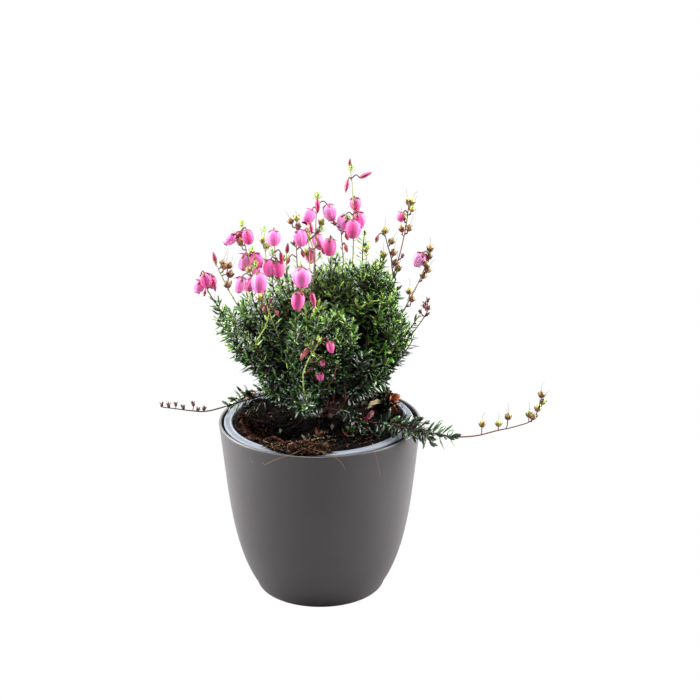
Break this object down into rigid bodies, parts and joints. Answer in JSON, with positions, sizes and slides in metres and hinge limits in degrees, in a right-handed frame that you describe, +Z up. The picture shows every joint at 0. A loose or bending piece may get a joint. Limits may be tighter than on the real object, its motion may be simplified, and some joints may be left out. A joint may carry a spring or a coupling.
{
  "type": "potted St Dabeoc's heath",
  "caption": "Small evergreen flowering shrub with nodding bell flowers, in a nursery pot inside a plain round dark grey cachepot.",
  "frame": {"origin": "centre of the cachepot's flat underside", "axes": "+Z up; the side seen in the picture faces -Y, with +X to its right"},
  "size_m": [0.2407, 0.13, 0.2829],
  "materials": {
    "outer_pot": "matt anthracite with a fine speckle",
    "inner_pot": "satin pale blue-grey plastic",
    "peat": "moist brown fibrous peat",
    "bark": "thin ridged reddish-brown bark",
    "leaf": "glossy dark green above, white felt below",
    "flower": "soft satin orchid pink with dark red stalks"
  },
  "bodies": {
    "root": {"bough_back": "bark", "bough_back_left": "bark", "bough_back_right": "bark", "bough_centre_top": "bark", "bough_front": "bark", "bough_front_low": "bark", "bough_left": "bark", "bough_left_low": "bark", "bough_left_top": "bark", "bough_right": "bark", "bough_right_low": "bark", "bough_right_top": "bark", "flower_spike_back": "flower", "flower_spike_back_left": "flower", "flower_spike_back_right": "flower", "flower_spike_centre": "flower", "flower_spike_centre_left": "flower", "flower_spike_front": "flower", "flower_spike_front_left": "flower", "flower_spike_front_low": "flower", "flower_spike_left_end": "flower", "flower_spike_left_front": "flower", "flower_spike_left_high": "flower", "flower_spike_left_inner": "flower", "flower_spike_left_middle": "flower", "flower_spike_left_outer": "flower", "flower_spike_right_low": "flower", "flower_spike_right_outer": "flower", "flower_spike_right_tall": "flower", "flower_spike_right_thin": "flower", "flower_spike_runner_left": "flower", "flower_spike_runner_right": "flower", "flower_spike_tall": "flower", "flower_spike_tall_left": "flower", "foliage_back": "leaf", "foliage_back_left": "leaf", "foliage_back_right": "leaf", "foliage_centre_top": "leaf", "foliage_front": "leaf", "foliage_front_low": "leaf", "foliage_left": "leaf", "foliage_left_low": "leaf", "foliage_left_top": "leaf", "foliage_right": "leaf", "foliage_right_low": "leaf", "foliage_right_top": "leaf", "foliage_runner_left": "leaf", "foliage_runner_right": "leaf", "inner_pot": "inner_pot", "outer_pot": "outer_pot", "runner_left_stem": "bark", "runner_right_stem": "bark", "soil": "peat", "stem": "bark"}
  },
  "joints": []
}
